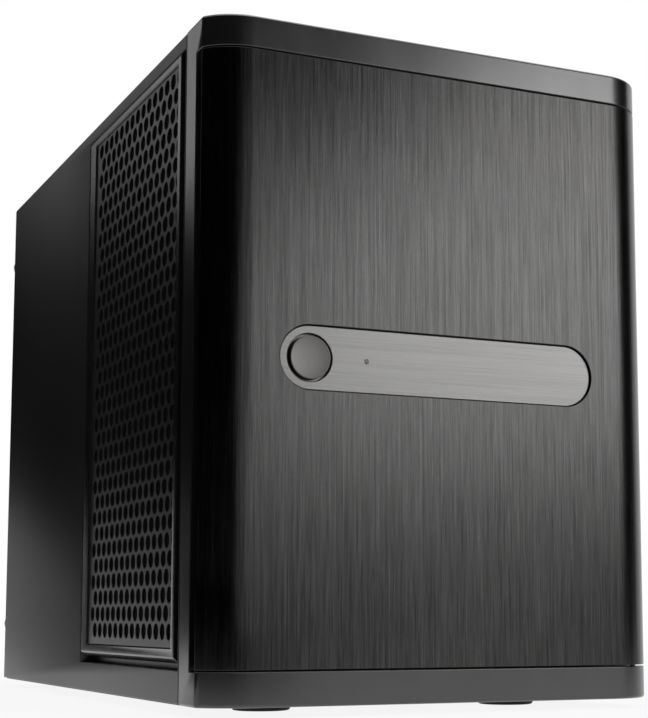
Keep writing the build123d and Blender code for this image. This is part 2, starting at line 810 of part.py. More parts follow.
def fan_frame(size):
    """Square fan housing, standing on its outlet side with its axis along Z."""
    bore = size / 2 - fan_wall
    housing = block(around(0, size), around(0, size), (0, fan_depth))
    housing = chamfer(housing.edges().filter_by(Axis.Z), fan_corner)
    housing -= prism(bore, (0, 0, -1), (0, 0, fan_depth + 1), fan_bore_sides)
    for x, y in fan_corners(size):
        housing -= prism(fan_screw_radius, (x, y, -1), (x, y, fan_depth + 1))
    strut = block(around(0, 2 * bore + 1), around(0, fan_strut_width), (0, fan_motor_plate))
    for quarter in (45, 135):
        housing += Rot(0, 0, quarter) * strut
    housing += prism(fan_motor_radius, (0, 0, 0), (0, 0, fan_motor_plate), fan_hub_sides)
    shaft_hole = fan_shaft_radius / cos(pi / fan_shaft_sides) + running_clearance
    return housing - prism(shaft_hole, (0, 0, fan_axial_gap), (0, 0, fan_depth), fan_shaft_sides)


def fan_impeller(size):
    """Hub on a shaft that turns in the motor plate, with flat tilted blades."""
    low = fan_motor_plate + fan_axial_gap
    high = fan_depth - fan_axial_gap
    hub = prism(fan_motor_radius, (0, 0, low), (0, 0, high), fan_hub_sides)
    half_chord = fan_blade_chord / 2
    half_width_seen = half_chord * cos(radians(fan_blade_pitch)) + fan_blade_thickness / 2
    tip = sqrt((size / 2 - fan_wall - fan_tip_gap) ** 2 - half_width_seen**2)
    blade = block((fan_motor_radius - 1, tip), around(0, fan_blade_chord), around(0, fan_blade_thickness))
    blade = Pos(0, 0, (low + high) / 2) * (Rot(fan_blade_pitch, 0, 0) * blade)
    for number in range(fan_blades):
        hub += Rot(0, 0, number * 360 / fan_blades) * blade
    return hub + prism(fan_shaft_radius, (0, 0, 2 * fan_axial_gap), (0, 0, low + 1), fan_shaft_sides)


def side_fan_place(z):
    """The inlet faces the filter, so the fan's axis points to -X."""
    return Plane(origin=(bracket_x[1] + fan_depth, side_fan_y, z), x_dir=(0, 1, 0), z_dir=(-1, 0, 0)).location


def rear_fan_place():
    """The outlet is against the rear panel, so the fan's axis points to -Y."""
    return Plane(origin=(rear_fan_x, rear_inner, rear_fan_z), x_dir=(1, 0, 0), z_dir=(0, -1, 0)).location


def short_screw(head_y, reach, x, z):
    """A screw along Y: its head stands behind a face, its shank reaches forward."""
    head = prism(screw_head_radius, (x, head_y, z), (x, head_y + screw_head, z))
    return head + prism(fan_shank_radius, (x, head_y - reach, z), (x, head_y, z))


def fan_screws():
    """Short screws that hold the fans to the bracket and the rear panel."""
    screws = []
    seat, tip = bracket_x[0], bracket_x[0] + fan_screw_reach
    for a, b in fan_corners(fan_size):
        for fan_z in side_fan_z:
            y, z = side_fan_y + a, fan_z + b
            screw = prism(screw_head_radius, (seat - screw_head, y, z), (seat, y, z))
            screws.append(screw + prism(fan_shank_radius, (seat, y, z), (tip, y, z)))
    for a, b in fan_corners(rear_fan_size):
        screws.append(short_screw(rear_face, fan_screw_reach, rear_fan_x + a, rear_fan_z + b))
    return screws


def drive_cage():
    """The cage's two side sheets, with a runner for each bay and air slots towards the fans."""
    y = (plate_y[1], cage_back)
    z = (pan_top, cage_z[1] + sheet)
    foot_z = (pan_top, pan_top + sheet)
    x0, x1 = cage_x
    left = block((x0 - sheet, x0), y, z) + block((x0, x0 + cage_foot), y, foot_z)
    right = block((x1, x1 + sheet), y, z) + block((x1 - cage_foot, x1), y, foot_z)
    slot_space = (cage_back - plate_y[1]) / cage_slots
    for number in range(bay_count):
        floor = bay_floor + number * bay_pitch
        if number:
            left += block((x0, x0 + runner_width), y, (floor - sheet, floor))
            right += block((x1 - runner_width, x1), y, (floor - sheet, floor))
        for slot in range(cage_slots):
            centre = plate_y[1] + (slot + 0.5) * slot_space
            slot_z_range = around(floor + bay_pitch / 2, cage_slot_height)
            left -= block((x0 - sheet - 1, x0 + 1), around(centre, cage_slot_length), slot_z_range)
    return [left, right]


def cage_shelves():
    """The cage's floor and roof sheets, welded between its sides."""
    y = (plate_y[1], cage_back)
    levels = ((cage_z[0] - sheet, cage_z[0]), (cage_z[1], cage_z[1] + sheet))
    return [block(cage_x, y, z) for z in levels]


def drive_tray(number):
    """Moulded tray: front with vents, side rails and a floor of three ribs."""
    z = bay_floor + number * bay_pitch + runner_lift
    x0, x1 = tray_x
    front_y = (tray_face, tray_face + tray_front)
    rail_y = (tray_face + tray_front, tray_back)
    tray = block((x0, x1), front_y, (z, z + tray_front_height))
    for rail in ((x0, x0 + tray_wall), (x1 - tray_wall, x1)):
        tray += block(rail, rail_y, (z, z + tray_rail_height))
    tray += block((x0, x1), rail_y, (z, z + tray_floor))
    length = (rail_y[1] - rail_y[0] - tray_rib) / tray_windows
    for window in range(tray_windows):
        start = rail_y[0] + tray_rib + window * length
        window_y = (start, start + length - tray_rib)
        tray -= block((x0 + tray_rib, x1 - tray_rib), window_y, (z - 1, z + tray_floor + 1))
    vent_pitch_x = (x1 - x0 - tray_rib) / tray_vents
    vent_inset = tray_vent_margin + tray_vent_height / 2
    through = (tray_face - 1, tray_face + tray_front + 1)
    for vent in range(tray_vents):
        centre = x0 + (tray_rib + vent_pitch_x) / 2 + vent * vent_pitch_x
        for height in (z + vent_inset, z + tray_front_height - vent_inset):
            vent_x = around(centre, vent_pitch_x - tray_vent_gap)
            tray -= block(vent_x, through, around(height, tray_vent_height))
    return tray


def tray_lever(number):
    """Lever across a tray's front, with a raised grip at its free end."""
    z = bay_floor + number * bay_pitch + runner_lift + tray_front_height / 2
    x = (tray_x[0] + lever_margin, tray_x[1] - lever_margin)
    y = (tray_face - lever_thickness, tray_face)
    lever = block(x, y, around(z, lever_height))
    lever = chamfer(lever.edges().filter_by(Axis.Y), lever_edge)
    grip_x = (x[1] - lever_end - lever_grip_width, x[1] - lever_end)
    lever += block(grip_x, (y[0] - lever_grip, y[0]), around(z, lever_height - 2 * lever_edge))
    window_x = (grip_x[0] - lever_end - lever_window, grip_x[0] - lever_end)
    return lever - block(window_x, (y[0] - 1, y[1] + 1), around(z, lever_height - 3 * lever_edge))


def backplane():
    """Circuit board across the back of the cage, with air gaps between the bays."""
    z = (cage_z[0], cage_z[1])
    through = (backplane_y - 1, backplane_y + backplane_thickness + 1)
    gap_x = (cage_x[0] + backplane_gap_inset, cage_x[1] - backplane_gap_inset)
    board = block(cage_x, (backplane_y, backplane_y + backplane_thickness), z)
    for number in range(bay_count):
        floor = bay_floor + number * bay_pitch
        gap_z = around(floor + 0.75 * bay_pitch, bay_pitch / 3)
        board -= block(gap_x, through, gap_z)
    return board


def backplane_sockets():
    """One drive socket for each bay, facing the front."""
    centre = sum(cage_x) / 2 + socket_offset
    sockets = []
    for number in range(bay_count):
        z = bay_floor + number * bay_pitch + socket_rise
        socket_y = (backplane_y - socket_depth, backplane_y)
        socket = block(around(centre, socket_width), socket_y, around(z, socket_height))
        mouth_y = (socket_y[0] - 1, socket_y[1] - socket_mouth_wall)
        mouth_z = around(z, socket_height - 2 * socket_mouth_wall)
        sockets.append(socket - block(around(centre, socket_width - 2 * socket_mouth_wall), mouth_y, mouth_z))
    return sockets


def board_tray():
    """Upright sheet that carries the board, open behind the processor."""
    y = (cage_back + backplane_thickness + 1, rear_inner)
    x = (board_tray_x - sheet, board_tray_x)
    tray = block(x, y, (pan_top, board_top + board_tray_rise))
    tray += block((board_tray_x, pan_inside), y, (pan_top, pan_top + sheet))
    window_y = around((board_front + board_rear) / 2, cooler_window)
    window_z = around(board_top - cooler_window_drop, cooler_window)
    return tray - block((x[0] - 1, x[1] + 1), window_y, window_z)


def board_standoffs():
    """Threaded hexagonal posts under the board's four holes."""
    posts = []
    start = board_tray_x - sheet
    for y, z in board_holes:
        plane = Plane(origin=(board_back_x, y, z), x_dir=(0, 1, 0), z_dir=(1, 0, 0))
        post = extrude(plane * RegularPolygon(standoff_across_flats / sqrt(3), 6), start - board_back_x)
        posts.append(post - rod(standoff_thread_radius, (board_back_x - 1, y, z), (start + 1, y, z)))
    return posts


def psu_shelf():
    """Folded shelf under the power supply, fastened to the rear panel."""
    half = psu_width / 2 + psu_shelf_margin
    y = (rear_inner - psu_length - psu_shelf_spare, rear_inner)
    z = (psu_floor - psu_shelf_gap - sheet, psu_floor - psu_shelf_gap)
    shelf = block((-half, half), y, z)
    for side in (-1, 1):
        shelf += block((side * (half - sheet), side * half), y, (z[0], z[0] + psu_shelf_lip))
    window_x = (-half + psu_window_side, half - psu_window_side)
    shelf -= block(window_x, (y[0] + psu_window_end, y[1] - psu_window_end), (z[0] - 1, z[1] + 1))
    return shelf + block((-half, half), (rear_inner - sheet, rear_inner), (z[0] - psu_shelf_foot, z[1]))


def rear_panel():
    """Steel rear wall with every opening that a board, a power supply and a fan need."""
    panel = block((-frame_half, frame_half), (rear_inner, rear_face), (pan_top, frame_top))
    through = (rear_inner - 1, rear_face + 1)

    def hole(radius, x, z, shape=prism):
        return shape(radius, (x, through[0], z), (x, through[1], z))

    panel -= block(io_x, through, io_z)
    panel -= block(around(0, psu_opening_width), through, around(psu_z, psu_opening_height))
    for x_side in (-1, 1):
        for z_side in (-1, 1):
            x, z = x_side * psu_screw_width / 2, psu_z + z_side * psu_screw_height / 2
            panel -= hole(psu_screw_radius, x, z, rod)
    for a, b in fan_corners(rear_fan_size):
        panel -= hole(fan_screw_radius, rear_fan_x + a, rear_fan_z + b)
    for z in slot_z:
        panel -= block(slot_x, through, around(z, slot_opening))
        panel -= hole(fan_screw_radius, slot_screw_x, z)
    for x, z in thumbscrew_places:
        panel -= hole(thumbscrew_shank_radius + running_clearance, x, z)
    bore = rear_fan_size / 2 - fan_wall

    def in_bore(x, z):
        return sqrt((x - rear_fan_x) ** 2 + (z - rear_fan_z) ** 2) < bore - vent_hole_width / 2

    square = [around(centre, 2 * bore + vent_pitch) for centre in (rear_fan_x, rear_fan_z)]
    plane = Plane(origin=(0, rear_face + 1, 0), x_dir=(1, 0, 0), z_dir=(0, -1, 0))
    return panel - hexagons(staggered(*square, vent_pitch, in_bore), vent_hole_width, plane, sheet + 2)


def slot_covers():
    """Blank plates that close the two card openings from inside."""
    x = (slot_x[0] - slot_cover_overlap, slot_x[1] + slot_cover_end)
    y = (rear_inner - slot_cover_thickness, rear_inner)
    covers = []
    for z in slot_z:
        start, end = (slot_screw_x, y[0] - 1, z), (slot_screw_x, y[1] + 1, z)
        covers.append(block(x, y, around(z, slot_cover_width)) - prism(fan_screw_radius, start, end))
    return covers


def slot_screws():
    return [short_screw(rear_face, slot_screw_reach, slot_screw_x, z) for z in slot_z]


def rubber_feet():
    """Four round feet, slightly wider where they meet the floor pan."""
    slope = degrees(atan2(foot_taper, foot_height))
    outline = RegularPolygon(foot_radius - foot_taper, foot_sides)
    return [Pos(x, y, 0) * extrude(outline, foot_height, taper=-slope) for x, y in foot_places]


def nodes():
    """Every node of the case and its shape: one solid, or a list of like solids."""
    parts = {
        "front_bezel": front_bezel(),
        "door_skin": door_skin(),
        "door_frame": door_frame(),
        "control_strip": control_strip(),
        "power_button": power_button(),
        "light_guide": light_guide(),
        "power_switch": power_switch(),
        "hinge_pins": hinge_pins(),
        "door_magnets": door_magnets(),
        "catch_plates": catch_plates(),
        "port_module": port_module(),
        "port_sockets": port_sockets(),
        "reset_button": reset_button(),
        "outer_cover": outer_cover(),
        "thumbscrews": thumbscrews(),
        "filter_frame": filter_frame(),
        "filter_magnets": filter_magnets(),
        "filter_sheet": filter_sheet(),
        "filter_mesh": filter_mesh(),
        "base_pan": base_pan(),
        "front_plate": front_plate(),
        "roof_rails": roof_rails(),
        "fan_bracket": fan_bracket(),
        "fan_screws": fan_screws(),
        "drive_cage": drive_cage(),
        "cage_shelves": cage_shelves(),
        "backplane": backplane(),
        "backplane_sockets": backplane_sockets(),
        "board_tray": board_tray(),
        "board_standoffs": board_standoffs(),
        "psu_shelf": psu_shelf(),
        "rear_panel": rear_panel(),
        "slot_covers": slot_covers(),
        "slot_screws": slot_screws(),
        "rubber_feet": rubber_feet(),
    }
    fans = {
        "lower": (side_fan_place(side_fan_z[0]), fan_size),
        "upper": (side_fan_place(side_fan_z[1]), fan_size),
        "rear": (rear_fan_place(), rear_fan_size),
    }
    for name, (place, size) in fans.items():
        parts[name + "_fan_frame"] = place * fan_frame(size)
        parts[name + "_impeller"] = place * fan_impeller(size)
    for number in range(bay_count):
        parts["drive_tray_" + str(number + 1)] = drive_tray(number)
        parts["tray_lever_" + str(number + 1)] = tray_lever(number)
    return parts


def main():
    os.makedirs("parts", exist_ok=True)
    for name, shape in nodes().items():
        if isinstance(shape, list):
            shape = Compound(children=shape)
        export_step(shape, "parts/" + name + ".step")


main()
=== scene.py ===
import json
from math import asin, cos, hypot, pi, radians, sin, sqrt

import bmesh
import bpy
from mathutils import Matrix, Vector
from mathutils.geometry import delaunay_2d_cdt


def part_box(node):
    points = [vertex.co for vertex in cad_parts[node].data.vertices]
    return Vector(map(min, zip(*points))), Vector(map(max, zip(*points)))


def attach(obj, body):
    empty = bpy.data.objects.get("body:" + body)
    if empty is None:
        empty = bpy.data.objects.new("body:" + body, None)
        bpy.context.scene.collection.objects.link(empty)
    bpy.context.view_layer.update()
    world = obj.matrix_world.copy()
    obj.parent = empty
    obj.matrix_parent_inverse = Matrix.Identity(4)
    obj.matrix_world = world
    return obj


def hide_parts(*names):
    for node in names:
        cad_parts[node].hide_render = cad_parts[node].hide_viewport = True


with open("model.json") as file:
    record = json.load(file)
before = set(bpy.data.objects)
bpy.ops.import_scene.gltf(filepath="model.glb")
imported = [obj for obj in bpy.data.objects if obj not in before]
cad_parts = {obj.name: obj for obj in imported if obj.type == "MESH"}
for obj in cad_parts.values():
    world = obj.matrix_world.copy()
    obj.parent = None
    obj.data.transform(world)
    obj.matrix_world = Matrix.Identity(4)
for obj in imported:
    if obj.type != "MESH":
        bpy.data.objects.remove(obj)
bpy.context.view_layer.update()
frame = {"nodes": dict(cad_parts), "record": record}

scene = bpy.context.scene
slot_of = {row["node"]: row["material_slot"] for row in frame["record"]["subparts"]}
body_of = {node: body for body, nodes in frame["record"]["behaviour"]["bodies"].items() for node in nodes}

MM = 0.001
RIGHT, BACK, UP = Vector((1, 0, 0)), Vector((0, 1, 0)), Vector((0, 0, 1))

# Millimetres that several pieces share
fan_bore = 58.0
fan_screw_place = 52.5
fan_screw_hole = 2.15
screw_head = 3.6


# Shader maths
class Amount:
    """A socket's value. Sums written on it become Math nodes."""

    def __init__(self, nodes, socket):
        self.nodes = nodes
        self.socket = socket

    def maths(self, operation, first, second=0.0):
        return self.nodes.get("ShaderNodeMath", {"operation": operation}, {0: first, 1: second})

    def __add__(self, other):
        return self.maths("ADD", self, other)

    def __radd__(self, other):
        return self.maths("ADD", other, self)

    def __sub__(self, other):
        return self.maths("SUBTRACT", self, other)

    def __rsub__(self, other):
        return self.maths("SUBTRACT", other, self)

    def __mul__(self, other):
        return self.maths("MULTIPLY", self, other)

    def __rmul__(self, other):
        return self.maths("MULTIPLY", other, self)

    def __pow__(self, other):
        return self.maths("POWER", self, other)

    def __rpow__(self, other):
        return self.maths("POWER", other, self)

    def less(self, other):
        return self.maths("LESS_THAN", self, other)

    def above(self, other):
        return self.maths("GREATER_THAN", self, other)

    def at_least(self, other):
        return self.maths("MAXIMUM", self, other)

    def sine(self):
        return self.maths("SINE", self)

    def size(self):
        return self.maths("ABSOLUTE", self)

    def within(self, low, high):
        """0 below low, 1 above high, a soft step between."""
        return self.nodes.get(
            "ShaderNodeMapRange",
            {"interpolation_type": "SMOOTHSTEP"},
            {"Value": self, "From Min": low, "From Max": high},
        )


class Nodes:
    """The node tree of a material or of the world, emptied."""

    def __init__(self, owner):
        owner.use_nodes = True
        self.tree = owner.node_tree
        self.tree.nodes.clear()

    def set(self, node, sockets):
        """Gives a node's sockets their values or links."""
        for name, value in sockets.items():
            if isinstance(value, Amount):
                self.tree.links.new(value.socket, node.inputs[name])
            else:
                node.inputs[name].default_value = value

    def get(self, kind, settings=None, sockets=None, output=0):
        """A new node: its settings first, then its sockets. Gives one of its outputs, if it has any."""
        node = self.tree.nodes.new(kind)
        for key, value in (settings or {}).items():
            setattr(node, key, value)
        self.set(node, sockets or {})
        return Amount(self, node.outputs[output]) if node.outputs else None

    def place(self, cells=1, middle=(0, 0, 0)):
        """The surface's point from the middle, in cells: so many to the metre, or three numbers."""
        stretch = cells if isinstance(cells, tuple) else (cells, cells, cells)
        point = self.get("ShaderNodeTexCoord", output="Object")
        moved = self.get("ShaderNodeVectorMath", {"operation": "SUBTRACT"}, {0: point, 1: middle})
        return self.get("ShaderNodeVectorMath", {"operation": "MULTIPLY"}, {0: moved, 1: stretch})

    def split(self, vector):
        """A vector's three parts."""
        node = self.get("ShaderNodeSeparateXYZ", {}, {0: vector}).socket.node
        return [Amount(self, socket) for socket in node.outputs]

    def noise(self, point, detail=2.0, roughness=0.5):
        """Soft noise from 0 to 1, at a vector or in so many cells to the metre."""
        if not isinstance(point, Amount):
            point = self.place(point)
        sockets = {"Vector": point, "Scale": 1.0, "Detail": detail, "Roughness": roughness}
        return self.get("ShaderNodeTexNoise", {}, sockets)

    def blend(self, amount, first, second):
        """A colour between two others."""
        colours = {"Factor": amount, 6: first, 7: second}
        return self.get("ShaderNodeMix", {"data_type": "RGBA"}, colours, output=2)

    def relief(self, height, depth, strength):
        """Small bumps, up to a depth in millimetres."""
        sockets = {"Height": height, "Distance": depth * MM, "Strength": strength}
        return self.get("ShaderNodeBump", {}, sockets)


class Paint(Nodes):
    """A material with one shader."""

    def __init__(self, name, **constants):
        self.material = bpy.data.materials.new(name)
        super().__init__(self.material)
        shader = self.get("ShaderNodeBsdfPrincipled")
        self.shader = shader.socket.node
        self.get("ShaderNodeOutputMaterial", {}, {"Surface": shader})
        self.use(**constants)

    def use(self, **sockets):
        """Sets or links the shader's own sockets, named in small letters."""
        for key, value in sockets.items():
            name = key.replace("_", " ").title().replace("Ior", "IOR")
            self.set(self.shader, {name: value})
        return self.material


# Finishes
def grey(level, warmth=0.0):
    """A grey that is a little warm (above 0) or cool (below 0)."""
    return (level * (1 + warmth), level, level * (1 - warmth), 1.0)


def brushed(name, dark, light, streaks, hairs, rough):
    """Anodised aluminium brushed one way. Streaks and hairs are long cells along the brushing."""
    paint = Paint(name, metallic=1.0, specular_ior_level=0.4)
    wide = paint.noise(streaks, detail=4.0, roughness=0.7)
    fine = paint.noise(hairs, detail=4.0, roughness=0.8)
    grain = (wide * 0.35 + fine * 0.65).within(0.33, 0.67)
    cloud = paint.noise(9)
    return paint.use(
        base_color=paint.blend(grain * 0.8 + cloud * 0.2, dark, light),
        roughness=rough + (fine - 0.5) * 0.22 + (cloud - 0.5) * 0.08,
        normal=paint.relief(fine * 0.7 + wide * 0.3, 0.04, 0.6),
    )


def spun(name, middle, dark, light, rough):
    """Aluminium with fine turned rings round an upright face's middle."""
    paint = Paint(name, metallic=1.0, specular_ior_level=0.4)
    x, _, z = paint.split(paint.place(middle=(middle.x, 0, middle.z)))
    radius = (x * x + z * z) ** 0.5
    point = paint.get("ShaderNodeCombineXYZ", {}, {0: radius * 5200.0, 1: x * 60.0, 2: z * 60.0})
    rings = paint.noise(point)
    return paint.use(
        base_color=paint.blend(rings, dark, light),
        roughness=rough + (rings - 0.5) * 0.12,
        normal=paint.relief(rings, 0.03, 0.5),
    )


def moulded(name, level, rough, warmth=0.0, grain=0.02, specular=0.5):
    """Moulded plastic with a fine grain and faint handling marks."""
    paint = Paint(name, specular_ior_level=specular)
    fine = paint.noise(1900)
    cloud = paint.noise(14, detail=3.0, roughness=0.6)
    smear = paint.noise((60, 60, 22))
    return paint.use(
        base_color=paint.blend(cloud, grey(level * 0.86, warmth), grey(level * 1.12, warmth)),
        roughness=rough + (cloud - 0.5) * 0.1 + (smear - 0.5) * 0.08 + (fine - 0.5) * 0.05,
        normal=paint.relief(fine, grain, 0.7),
    )


def coated(name, level, rough, peel_cells=1100, metallic=0.0, specular=0.5):
    """Painted or powder-coated steel with a slight orange peel."""
    paint = Paint(name, metallic=metallic, specular_ior_level=specular)
    peel = paint.noise(peel_cells, detail=1.0)
    speck = paint.noise(4200, detail=1.0)
    cloud = paint.noise(8)
    return paint.use(
        base_color=paint.blend(cloud * 0.7 + speck * 0.3, grey(level * 0.85), grey(level * 1.15)),
        roughness=rough + (cloud - 0.5) * 0.08 + (speck - 0.5) * 0.1,
        normal=paint.relief(peel * 0.6 + speck * 0.4, 0.03, 0.6),
    )


def woven(name, level):
    """Fine dust cloth: crossed threads with gaps between them."""
    paint = Paint(name, roughness=0.9, specular_ior_level=0.08)
    _, y, z = paint.split(paint.place(5200))
    threads = y.sine().size().at_least(z.sine().size())
    return paint.use(
        base_color=paint.blend(threads, grey(level * 0.2), grey(level)),
        normal=paint.relief(threads, 0.1, 1.0),
    )


def printed_board(name):
    """Green board with thin copper runs under its lacquer and rows of tinned holes."""
    paint = Paint(name, roughness=0.35, coat_weight=0.3)
    x, _, z = paint.split(paint.place(620))
    down = (paint.noise((210, 210, 16), detail=0.0) - 0.5).size().less(0.025)
    across = (paint.noise((16, 210, 210), detail=0.0) - 0.5).size().less(0.02)
    copper = down.at_least(across)
    tinned = (x.sine() * z.sine()).above(0.965)
    lacquer = paint.blend(copper, (0.004, 0.022, 0.014, 1), (0.008, 0.05, 0.028, 1))
    return paint.use(
        base_color=paint.blend(tinned, lacquer, (0.42, 0.4, 0.36, 1)),
        normal=paint.relief(copper, 0.05, 0.5),
    )


def plated(name, level, rough):
    """Bright plated metal with a faint cloud."""
    paint = Paint(name, metallic=1.0)
    cloud = paint.noise(300, detail=3.0)
    return paint.use(
        base_color=paint.blend(cloud, grey(level * 0.8, 0.01), grey(level, 0.01)),
        roughness=rough + (cloud - 0.5) * 0.15,
    )


def clear(name):
    """Clear plastic, a little frosted."""
    paint = Paint(name, transmission_weight=0.9, ior=1.49)
    frost = paint.noise(900, detail=1.0)
    return paint.use(base_color=(0.75, 0.78, 0.8, 1), roughness=0.25 + frost * 0.1)


def rubbery(name):
    """Dull rubber with a little dust."""
    paint = Paint(name, specular_ior_level=0.3)
    fine = paint.noise(1500, detail=3.0)
    dust = paint.noise(180, detail=3.0).within(0.5, 0.75)
    return paint.use(
        base_color=paint.blend(dust, grey(0.018), grey(0.035, 0.04)),
        roughness=0.72 + (fine - 0.5) * 0.15,
        normal=paint.relief(fine, 0.06, 0.7),
    )


finishes = {
    "door_aluminium": brushed(
        "door_aluminium", grey(0.015, 0.01), grey(0.075, 0.01), (800, 800, 9), (2600, 2600, 32), 0.24
    ),
    "strip_aluminium": brushed(
        "strip_aluminium", grey(0.12, 0.01), grey(0.19, 0.01), (10, 700, 700), (30, 2600, 2600), 0.34
    ),
    "satin_plastic": moulded("satin_plastic", 0.006, 0.21, warmth=0.015, specular=1.0),
    "inner_plastic": moulded("inner_plastic", 0.02, 0.5, grain=0.03),
    "powder_coat": coated("powder_coat", 0.007, 0.33),
    "inner_steel": coated("inner_steel", 0.018, 0.4, peel_cells=800),
    "fan_plastic": moulded("fan_plastic", 0.014, 0.32, grain=0.01),
    "tray_plastic": moulded("tray_plastic", 0.03, 0.48),
    "lever_plastic": moulded("lever_plastic", 0.06, 0.42, warmth=-0.01),
    "filter_cloth": woven("filter_cloth", 0.003),
    "circuit_board": printed_board("circuit_board"),
    "socket_plastic": moulded("socket_plastic", 0.016, 0.35, grain=0.01),
    "screw_steel": coated("screw_steel", 0.08, 0.34, peel_cells=2600, metallic=1.0),
    "bright_metal": plated("bright_metal", 0.62, 0.28),
    "clear_plastic": clear("clear_plastic"),
    "rubber": rubbery("rubber"),
}
sheet_finish = coated("sheet_steel", 0.008, 0.33, specular=1.0)
button_middle = sum(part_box("power_button"), Vector()) / 2
button_finish = spun("button_aluminium", button_middle, grey(0.085, 0.03), grey(0.16, 0.03), 0.4)

for node, solid in frame["nodes"].items():
    finish = finishes[slot_of[node]]
    if solid.material_slots:
        for held in solid.material_slots:
            held.material = finish
    else:
        solid.data.materials.append(finish)


# Pieces and the nodes that they stand for
def corners_of(node):
    """A node's lowest and highest corners in millimetres."""
    low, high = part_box(node)
    return low / MM, high / MM


def centre_of(node):
    low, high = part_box(node)
    return (low + high) / 2 / MM


def piece(name, mesh, node, finish=None, sharp=30.0):
    """Puts a mesh in the scene in place of the node that it stands for."""
    mesh.name = name
    mesh.polygons.foreach_set("use_smooth", [True] * len(mesh.polygons))
    mesh.set_sharp_from_angle(angle=radians(sharp))
    mesh.materials.clear()
    mesh.materials.append(finish or finishes[slot_of[node]])
    made = bpy.data.objects.new(name, mesh)
    scene.collection.objects.link(made)
    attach(made, body_of[node])
    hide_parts(node)
    return made


def rounded_edges(made, width, segments=2, angle=30.0):
    """Small rounds on a piece's sharp edges, so that they catch the light."""
    edge = made.modifiers.new("rounded_edges", "BEVEL")
    edge.limit_method = "ANGLE"
    edge.angle_limit = radians(angle)
    edge.width = width * MM
    edge.segments = segments
    edge.use_clamp_overlap = False
    edge.harden_normals = True


def as_mesh(build):
    mesh = bpy.data.meshes.new("mesh")
    build.to_mesh(mesh)
    build.free()
    return mesh


def finished(build):
    """A mesh from a bmesh whose numbers are millimetres."""
    bmesh.ops.scale(build, vec=(MM, MM, MM), verts=build.verts)
    bmesh.ops.recalc_face_normals(build, faces=build.faces)
    return as_mesh(build)


def like_node(node, width, segments=2):
    """The node's own shape with its edges rounded."""
    build = bmesh.new()
    build.from_mesh(frame["nodes"][node].data)
    bmesh.ops.remove_doubles(build, verts=build.verts, dist=0.002 * MM)
    bmesh.ops.dissolve_limit(build, angle_limit=radians(0.5), verts=build.verts, edges=build.edges)
    rounded_edges(piece(node + "_shape", as_mesh(build), node), width, segments)


# Outlines
def ring(radius, steps, centre=(0, 0), start=0.0):
    """Points round a circle."""
    turns = [start + 2 * pi * i / steps for i in range(steps)]
    return [(centre[0] + radius * cos(turn), centre[1] + radius * sin(turn)) for turn in turns]


def arc(radius, centre, start, sweep, steps):
    """Points along a part of a circle, with both its ends."""
    turns = [start + sweep * i / steps for i in range(steps + 1)]
    return [(centre[0] + radius * cos(turn), centre[1] + radius * sin(turn)) for turn in turns]


def rectangle(low, high):
    return [(low[0], low[1]), (high[0], low[1]), (high[0], high[1]), (low[0], high[1])]


def round_rectangle(low, high, radius):
    corners = rectangle([c + radius for c in low], [c - radius for c in high])
    points = []
    for quarter, centre in enumerate(corners[2:] + corners[:2]):
        points += arc(radius, centre, quarter * pi / 2, pi / 2, 6)
    return points


def oblong(length, height, centre):
    radius = height / 2
    points = []
    for side, start in ((1, -pi / 2), (-1, pi / 2)):
        points += arc(radius, (centre[0] + side * (length / 2 - radius), centre[1]), start, pi, 32)
    return points


def four_spots(half_width, half_height):
    return [(x, y) for x in (-half_width, half_width) for y in (-half_height, half_height)]


def clipped(loop, low, high):
    """A loop of points kept within two upright lines."""
    return [(min(max(x, low), high), y) for x, y in loop]


def encloses(loop, spot):
    """Whether a point lies inside a closed loop."""
    inside = False
    for (x1, y1), (x2, y2) in zip(loop, loop[1:] + loop[:1]):
        if (y1 > spot.y) != (y2 > spot.y) and spot.x < x1 + (x2 - x1) * (spot.y - y1) / (y2 - y1):
            inside = not inside
    return inside


# Solid shapes
def space(foot, right, up, out):
    """Turns three numbers into the point that lies so far to the right, up and out from the foot."""
    return lambda u, v, w: foot + right * u + up * v + out * w


def plate(build, outline, holes, thickness, at, merged=True):
    """A flat plate with holes: both its faces and every wall. Merged joins the triangles of a face."""
    points, edges, loop_of = [], [], []
    for number, loop in enumerate([outline] + holes):
        start = len(points)
        points += [Vector(point) for point in loop]
        edges += [(start + i, start + (i + 1) % len(loop)) for i in range(len(loop))]
        loop_of += [number] * len(loop)
    spots, _, faces, origins, _, _ = delaunay_2d_cdt(points, edges, [list(range(len(outline)))], 1, 1e-7)
    loops = [{loop_of[origin] for origin in held} for held in origins]
    kept = []
    for face in faces:
        touched = set.intersection(*(loops[i] for i in face)) - {0}
        middle = sum((spots[i] for i in face), Vector((0, 0))) / len(face)
        if not any(encloses(holes[number - 1], middle) for number in touched):
            kept.append(face)
    front = [build.verts.new(at(spot.x, spot.y, 0)) for spot in spots]
    back = [build.verts.new(at(spot.x, spot.y, thickness)) for spot in spots]
    for face in kept:
        build.faces.new([front[i] for i in face])
        build.faces.new([back[i] for i in reversed(face)])
    sides = [side for face in kept for side in zip(face, face[1:] + face[:1])]
    inner = set(sides)
    for start, end in sides:
        if (end, start) not in inner:
            build.faces.new([front[start], back[start], back[end], front[end]])
    loose = [vert for vert in build.verts if not vert.link_faces]
    bmesh.ops.delete(build, geom=loose, context="VERTS")
    if merged:
        bmesh.ops.dissolve_limit(build, angle_limit=radians(0.2), verts=build.verts, edges=build.edges)


